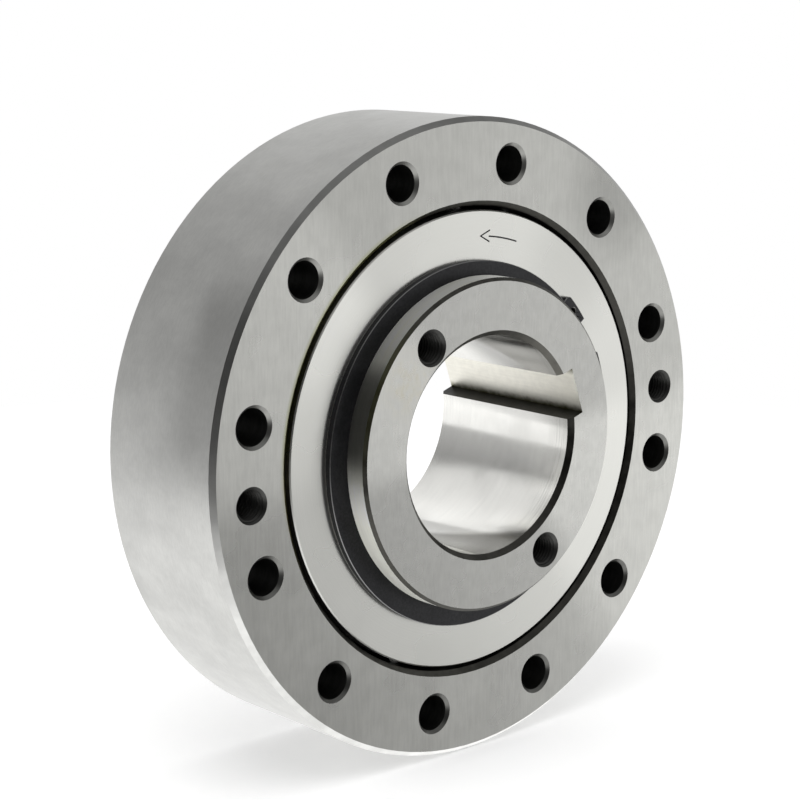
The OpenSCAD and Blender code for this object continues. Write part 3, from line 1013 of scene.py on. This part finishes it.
class CLUTCH_OT_stage(bpy.types.Operator):
    """Make the camera, the floor and the light"""
    bl_idname = "clutch.stage"
    bl_label = "Stage"

    def execute(self, context):
        stage = context.scene.clutch_stage
        lens = bpy.data.cameras.new("camera")
        lens.lens = stage.lens
        lens.sensor_width = 36
        camera = new_object("camera", lens)
        camera.location = stage.camera
        camera.rotation_euler = Vector(stage.aim).to_track_quat("-Z", "Y").to_euler()
        context.scene.camera = camera
        context.scene.view_settings.view_transform = "Standard"

        key = area_lamp("key_light", "DISK", 1.6, 1.6, stage.key)
        key.location = (-0.5, -0.4, 1.6)
        key.rotation_euler = (-key.location).to_track_quat("-Z", "Y").to_euler()
        key.visible_glossy = False

        self.make_cards(stage)
        self.make_room(context, stage)
        self.make_floor(stage)
        return {"FINISHED"}

    def make_cards(self, stage):
        """White cards behind the clutch, which only the steel of the inner race sees."""
        seen_by = bpy.data.collections.new("steel_lit_by_cards")
        seen_by.objects.link(bpy.data.objects["inner_race_body"])
        behind = 0.35
        # Name, place across and up, width, height and share of the cards' power
        cards = (("low_card", -0.33, -0.06, 0.22, 0.16, 1.0),
                 ("high_card", -0.03, 0.365, 0.54, 0.25, 0.86))
        for name, x, z, width, height, share in cards:
            card = area_lamp(name, "RECTANGLE", width, height, stage.card * share * width * height)
            card.location = (x, behind, z)
            card.rotation_euler = (math.radians(-90), 0, 0)
            card.visible_camera = False
            card.visible_diffuse = False
            card.light_linking.receiver_collection = seen_by

    def make_room(self, context, stage):
        """Light for matt surfaces, white for the camera, and a room of soft panels for steel."""
        world = bpy.data.worlds.new("studio")
        context.scene.world = world
        world.use_nodes = True
        tree = world.node_tree
        tree.nodes.clear()
        way = add(tree, "ShaderNodeTexCoord").outputs["Generated"]
        _, back, up = add(tree, "ShaderNodeSeparateXYZ", way).outputs

        def panel(turn, rise, low, high, out_low, out_high):
            """Soft round panel, centred on a direction in degrees round from +X and up."""
            turn, rise = math.radians(turn), math.radians(rise)
            middle = (math.cos(turn) * math.cos(rise), math.sin(turn) * math.cos(rise), math.sin(rise))
            facing = add(tree, "ShaderNodeVectorMath", way, middle, operation="DOT_PRODUCT")
            return ramp(tree, facing.outputs["Value"], low, high, out_low, out_high)

        walls = ramp(tree, up, -0.10, 0.75, stage.walls, 0.32)
        # Brighter parts of the walls: turn and rise of the middle, cosine at the rim, and what they add
        for turn, rise, rim, extra in ((60, 15, 0.6, 0.30), (-15, -7, 0.8, 0.5), (-60, 5, 0.9, 0.25)):
            walls = calc(tree, "ADD", walls, panel(turn, rise, rim, 1.0, 0.0, extra))
        behind_camera = panel(-130, 10, 0.05, 0.60, 1.0, 0.08)
        overhead = ramp(tree, up, 0.42, 0.75, 0.0, 0.9)
        walls = calc(tree, "MULTIPLY", walls, calc(tree, "MAXIMUM", behind_camera, overhead))
        walls = calc(tree, "MULTIPLY", walls, panel(160, 0, 0.30, 0.90, 1.0, 0.7))
        walls = calc(tree, "ADD", walls, ramp(tree, up, 0.75, 1.0, 0.0, 0.20))
        table = panel(40, -30, 0.5, 1.0, stage.table, stage.table + 0.28)
        table = calc(tree, "ADD", table, panel(175, -42, 0.7, 1.0, 0.0, 0.45))
        level = calc(tree, "SUBTRACT", up, calc(tree, "MULTIPLY", back, 0.15))
        light = add(tree, "ShaderNodeLightPath")
        seen = blend(tree, ramp(tree, level, -0.60, -0.18, 1.0, 0.0), walls, table)
        seen = calc(tree, "MULTIPLY", seen, panel(-75, -37, 0.81, 0.93, 1.0, 0.3))
        level = blend(tree, light.outputs["Is Glossy Ray"], stage.room, seen)
        final = blend(tree, light.outputs["Is Camera Ray"], level, 1.0)
        sky = add(tree, "ShaderNodeBackground", (1, 1, 1, 1), final)
        add(tree, "ShaderNodeOutputWorld", sky)

    def make_floor(self, stage):
        """Round white floor under the clutch, which polished steel doesn't see."""
        shape = bmesh.new()
        bmesh.ops.create_circle(shape, cap_ends=True, segments=96, radius=stage.floor)
        bmesh.ops.translate(shape, verts=shape.verts, vec=(0.1, 0.1, CAD_BOX[0].z))
        mesh = bpy.data.meshes.new("floor")
        shape.to_mesh(mesh)
        shape.free()
        floor = new_object("floor", mesh)
        paper = Finish("studio floor", roughness=0.9, metallic=0.0)
        grain = paper.noise(300)
        mesh.materials.append(paper.done(paper.tint(stage.paper, [(grain, 0.01)])))
        light = add(paper.tree, "ShaderNodeLightPath")
        paper.set("Emission Color", (1, 1, 1, 1))
        paper.set("Emission Strength", paper.product(light.outputs["Is Camera Ray"], stage.glow))
        floor.visible_glossy = False
        floor.visible_shadow = False


SETTINGS = {"clutch_steel": SteelSettings, "clutch_threads": ThreadSettings,
            "clutch_springs": SpringSettings, "clutch_mark": MarkSettings,
            "clutch_stage": StageSettings}
OPERATORS = (CLUTCH_OT_outer_race, CLUTCH_OT_inner_race, CLUTCH_OT_cage, CLUTCH_OT_circlips,
             CLUTCH_OT_sprags, CLUTCH_OT_springs, CLUTCH_OT_arrow, CLUTCH_OT_stage)


class CLUTCH_PT_panel(bpy.types.Panel):
    """Sizes, colours and steps of the clutch"""
    bl_idname = "CLUTCH_PT_panel"
    bl_label = "Sprag clutch"
    bl_space_type = "VIEW_3D"
    bl_region_type = "UI"
    bl_category = "Clutch"

    def draw(self, context):
        for name in SETTINGS:
            group = getattr(context.scene, name)
            box = self.layout.box()
            for key in group.__annotations__:
                box.prop(group, key)
        for step in OPERATORS:
            self.layout.operator(step.bl_idname)


CLASSES = (*SETTINGS.values(), *OPERATORS, CLUTCH_PT_panel)


def register():
    for made in CLASSES:
        bpy.utils.register_class(made)
    for name, group in SETTINGS.items():
        setattr(bpy.types.Scene, name, bpy.props.PointerProperty(type=group))


def unregister():
    for name in SETTINGS:
        delattr(bpy.types.Scene, name)
    for made in reversed(CLASSES):
        bpy.utils.unregister_class(made)


def main():
    register()
    for step in OPERATORS:
        group, name = step.bl_idname.split(".")
        getattr(getattr(bpy.ops, group), name)()


if __name__ == "__main__":
    main()
